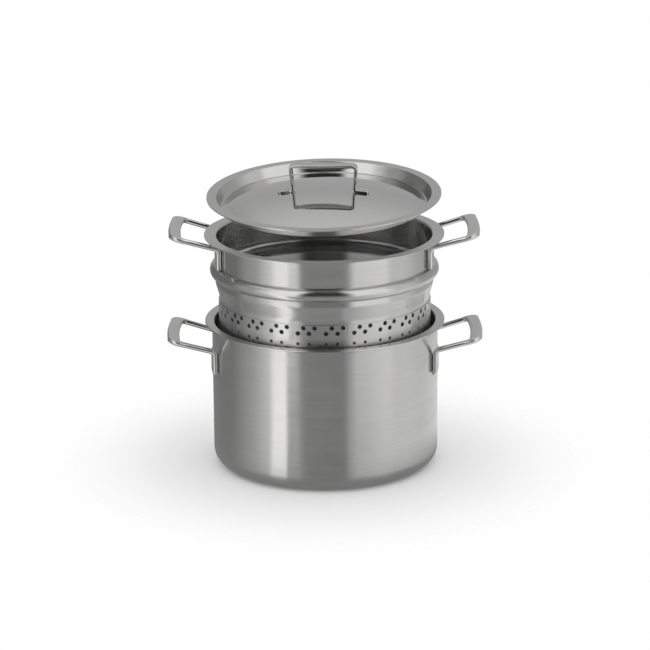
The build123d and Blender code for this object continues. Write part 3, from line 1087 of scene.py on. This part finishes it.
# Camera, matched to the photograph
camera_distance = 3.2
camera_elevation = math.radians(16.95)
camera_lens = 162.3
camera_sensor = 36
frame_pixels = 650
aim_height = 108.2 * mm
aim_across_pixels = -0.15
aim_down_pixels = 38
camera_roll = math.radians(-0.45)

camera_data = bpy.data.cameras.new("camera")
camera_data.lens = camera_lens
camera_data.sensor_width = camera_sensor
camera = bpy.data.objects.new("camera", camera_data)
bpy.context.scene.collection.objects.link(camera)
bpy.context.scene.camera = camera
focal_pixels = camera_lens / camera_sensor * frame_pixels
pitch = math.pi / 2 - camera_elevation + math.atan(aim_down_pixels / focal_pixels)
yaw = math.atan(aim_across_pixels / focal_pixels)
back = camera_distance * math.cos(camera_elevation)
rise = aim_height + camera_distance * math.sin(camera_elevation)
camera.matrix_world = (
    Matrix.Translation((0, -back, rise))
    @ Matrix.Rotation(yaw, 4, "Z")
    @ Matrix.Rotation(pitch, 4, "X")
    @ Matrix.Rotation(camera_roll, 4, "Z")
)


# Studio
def smooth_share(tree, value, low, high):
    """A soft step from 0 to 1 between two values."""
    step = remap(tree, value, low, high)
    step.node.interpolation_type = "SMOOTHSTEP"
    return step


def make_panel():
    """A soft-edged panel in the studio, by direction in degrees, laid over what is behind it."""
    sockets = ["Around", "Height", "Behind", "Middle", "Half Width", "Side Blur", "Centre", "Half Height"]
    sockets += ["End Blur", "Brightness"]
    group, given, result = new_group(
        "soft_panel", [(label, "NodeSocketFloat", 0.0) for label in sockets], [("Level", "NodeSocketFloat")]
    )
    off = math_node(group, "SUBTRACT", given.outputs["Around"], given.outputs["Middle"])
    turned = math_node(group, "WRAP", off, 180.0)
    turned.node.inputs[2].default_value = -180.0
    sideways = math_node(group, "ABSOLUTE", turned)
    upwards = math_node(group, "SUBTRACT", given.outputs["Height"], given.outputs["Centre"])
    upwards = math_node(group, "ABSOLUTE", upwards)
    shares = []
    for away, half, blur in ((sideways, "Half Width", "Side Blur"), (upwards, "Half Height", "End Blur")):
        fade = group.nodes.new("ShaderNodeMapRange")
        fade.interpolation_type = "SMOOTHSTEP"
        fade.inputs["To Min"].default_value = 1.0
        fade.inputs["To Max"].default_value = 0.0
        group.links.new(away, fade.inputs["Value"])
        for operation, edge in (("SUBTRACT", "From Min"), ("ADD", "From Max")):
            place = math_node(group, operation, given.outputs[half], given.outputs[blur])
            group.links.new(place, fade.inputs[edge])
        shares.append(fade.outputs["Result"])
    share = math_node(group, "MULTIPLY", *shares)
    change = math_node(group, "SUBTRACT", given.outputs["Brightness"], given.outputs["Behind"])
    level = math_node(group, "MULTIPLY_ADD", share, change)
    group.links.new(given.outputs["Behind"], level.node.inputs[2])
    group.links.new(level, result.inputs["Level"])
    return group


soft_panel = make_panel()

# Panels round the pot, each laid over the ones before it. Directions are in degrees: sideways from
# the front, minus to the left, and up from level. A panel is (left, right, side blur, low, high, end
# blur, brightness).
room_level = 0.18
even_level = 1.05  # on all that no metal reflects
panels = {
    "far_right": (85, 165, 25, -60, 60, 10, 0.43),
    "backdrop": (158, 196, 6, -50, 60, 10, 0.46),
    "backdrop_top": (150, 205, 12, 36, 75, 18, 0.72),
    "left_spill": (-98, -55, 12, -60, 60, 10, 0.42),
    "left_edge": (-70, -45, 10, -60, 70, 12, 0.85),
    "left_softbox": (-58, -26, 5, -50, 75, 12, 1.15),
    "right_edge": (65, 104, 16, -60, 70, 10, 0.72),
    "right_softbox": (27, 72, 6, -50, 75, 12, 1.06),
    "ceiling_left": (-115, -40, 10, 48, 100, 8, 1.2),
    "ceiling_right": (40, 130, 10, 52, 100, 8, 1.1),
    "table": (-24, 24, 4, -100, -4, 3, 0.37),
    "front_gap": (-21, 21, 2.5, -4, 66, 3, 0.02),
    "floor": (-180, 180, 1, -100, -62, 16, 0.3),
}


def lay_panels(tree, around, height, behind, rows):
    """Lays the listed panels over an even level, one on the other; returns the brightness."""
    level = None
    for name, (left, right, side_blur, low, high, end_blur, brightness) in rows.items():
        panel = tree.nodes.new("ShaderNodeGroup")
        panel.name = name
        panel.node_tree = soft_panel
        tree.links.new(around, panel.inputs["Around"])
        tree.links.new(height, panel.inputs["Height"])
        panel.inputs["Behind"].default_value = behind
        if level:
            tree.links.new(level, panel.inputs["Behind"])
        panel.inputs["Middle"].default_value = (left + right) / 2
        panel.inputs["Half Width"].default_value = (right - left) / 2
        panel.inputs["Side Blur"].default_value = side_blur
        panel.inputs["Centre"].default_value = (low + high) / 2
        panel.inputs["Half Height"].default_value = (high - low) / 2
        panel.inputs["End Blur"].default_value = end_blur
        panel.inputs["Brightness"].default_value = brightness
        level = panel.outputs["Level"]
    return level


def make_studio():
    """White to the camera, soft and even on the floor, and panels with dark gaps for the metal."""
    world = bpy.data.worlds.new("studio")
    bpy.context.scene.world = world
    world.use_nodes = True
    tree = world.node_tree
    tree.nodes.clear()
    place = tree.nodes.new("ShaderNodeTexCoord")
    parts = tree.nodes.new("ShaderNodeSeparateXYZ")
    tree.links.new(place.outputs["Generated"], parts.inputs["Vector"])
    backward = math_node(tree, "MULTIPLY", parts.outputs["Y"], -1.0)
    angle = math_node(tree, "ARCTAN2", parts.outputs["X"], backward)
    around = math_node(tree, "DEGREES", angle)
    height = math_node(tree, "DEGREES", math_node(tree, "ARCSINE", parts.outputs["Z"]))
    level = lay_panels(tree, around, height, room_level, panels)
    metal = tree.nodes.new("ShaderNodeBackground")
    tree.links.new(level, metal.inputs["Strength"])
    metal.inputs["Color"].default_value = (1, 1, 1, 1)
    even = tree.nodes.new("ShaderNodeBackground")
    even.inputs["Color"].default_value = (1, 1, 1, 1)
    even.inputs["Strength"].default_value = even_level
    white = tree.nodes.new("ShaderNodeBackground")
    white.inputs["Color"].default_value = (1, 1, 1, 1)
    path = tree.nodes.new("ShaderNodeLightPath")
    glossy = tree.nodes.new("ShaderNodeMixShader")
    tree.links.new(path.outputs["Is Glossy Ray"], glossy.inputs[0])
    tree.links.new(even.outputs[0], glossy.inputs[1])
    tree.links.new(metal.outputs[0], glossy.inputs[2])
    seen = math_node(tree, "MAXIMUM", path.outputs["Is Camera Ray"], path.outputs["Is Transmission Ray"])
    final = tree.nodes.new("ShaderNodeMixShader")
    tree.links.new(seen, final.inputs[0])
    tree.links.new(glossy.outputs[0], final.inputs[1])
    tree.links.new(white.outputs[0], final.inputs[2])
    output = tree.nodes.new("ShaderNodeOutputWorld")
    tree.links.new(final.outputs[0], output.inputs["Surface"])


floor_radius = 900 * mm
floor_solid = 160 * mm
floor_clear = 330 * mm
floor_light_fade = (760 * mm, 880 * mm)
# Painted light on the floor as the metal sees it, a glow that only reflections show: sideways in degrees
# from the pot's middle front, as for the panels above, but low and high are millimetres from the pot's axis.
floor_focus = pot_outer_radius * 0.53
floor_level = 0.25
floor_light = {
    "right": (38, 175, 40, 0, 800, 50, 0.82),
    "left": (-66, 0, 45, 0, 800, 50, 1.0),
    "strip": (-56, -35, 3, 0, 800, 50, 1.3),
    "front": (-40, 22, 1.5, 0, 800, 50, 0.34),
    # painted shadow round the pot's foot, seen only in the metal's reflections
    "painted_contact_shadow": (-180, 180, 1, 0, 165, 30, 0.27),
}


def make_floor():
    """A pale floor that keeps the pot's soft shadow for the camera, shows the metal a painted glow with a
    painted shadow at the foot, and fades into the white round it.
    """
    deselect()
    bpy.ops.mesh.primitive_circle_add(vertices=96, radius=floor_radius, fill_type="NGON", location=(0, 0, 0))
    bpy.ops.object.mode_set(mode="EDIT")
    bpy.ops.mesh.inset(thickness=floor_radius - floor_clear)
    bpy.ops.object.mode_set(mode="OBJECT")
    floor = bpy.context.object
    floor.name = "floor"
    material = bpy.data.materials.new("floor_white")
    material.use_nodes = True
    tree = material.node_tree
    tree.nodes.clear()
    place = tree.nodes.new("ShaderNodeTexCoord")
    distance = tree.nodes.new("ShaderNodeVectorMath")
    distance.operation = "LENGTH"
    tree.links.new(place.outputs["Object"], distance.inputs[0])
    parts = tree.nodes.new("ShaderNodeSeparateXYZ")
    tree.links.new(place.outputs["Object"], parts.inputs["Vector"])
    forward = math_node(tree, "SUBTRACT", -floor_focus, parts.outputs["Y"])
    around = math_node(tree, "DEGREES", math_node(tree, "ARCTAN2", parts.outputs["X"], forward))
    reach = math_node(tree, "MULTIPLY", distance.outputs["Value"], 1 / mm)
    level = lay_panels(tree, around, reach, floor_level, floor_light)
    clear = tree.nodes.new("ShaderNodeBsdfTransparent")
    # Painted light: an emission that only the metal's reflections see, at the levels listed in floor_light.
    painted_glow = tree.nodes.new("ShaderNodeEmission")
    tree.links.new(level, painted_glow.inputs["Strength"])
    far = smooth_share(tree, distance.outputs["Value"], *floor_light_fade)
    ground = tree.nodes.new("ShaderNodeMixShader")
    tree.links.new(far, ground.inputs[0])
    tree.links.new(painted_glow.outputs[0], ground.inputs[1])
    tree.links.new(clear.outputs[0], ground.inputs[2])
    fade = smooth_share(tree, distance.outputs["Value"], floor_solid, floor_clear)
    paper = tree.nodes.new("ShaderNodeBsdfDiffuse")
    paper.inputs["Color"].default_value = (0.95, 0.95, 0.95, 1)
    sheet = tree.nodes.new("ShaderNodeMixShader")
    tree.links.new(fade, sheet.inputs[0])
    tree.links.new(paper.outputs[0], sheet.inputs[1])
    tree.links.new(clear.outputs[0], sheet.inputs[2])
    path = tree.nodes.new("ShaderNodeLightPath")
    mixed = tree.nodes.new("ShaderNodeMixShader")
    tree.links.new(path.outputs["Is Glossy Ray"], mixed.inputs[0])
    tree.links.new(sheet.outputs[0], mixed.inputs[1])
    tree.links.new(ground.outputs[0], mixed.inputs[2])
    output = tree.nodes.new("ShaderNodeOutputMaterial")
    tree.links.new(mixed.outputs[0], output.inputs["Surface"])
    material.cycles.emission_sampling = "NONE"
    floor.data.materials.append(material)
    deselect()


make_floor()
make_studio()
bpy.context.scene.view_settings.view_transform = "Standard"
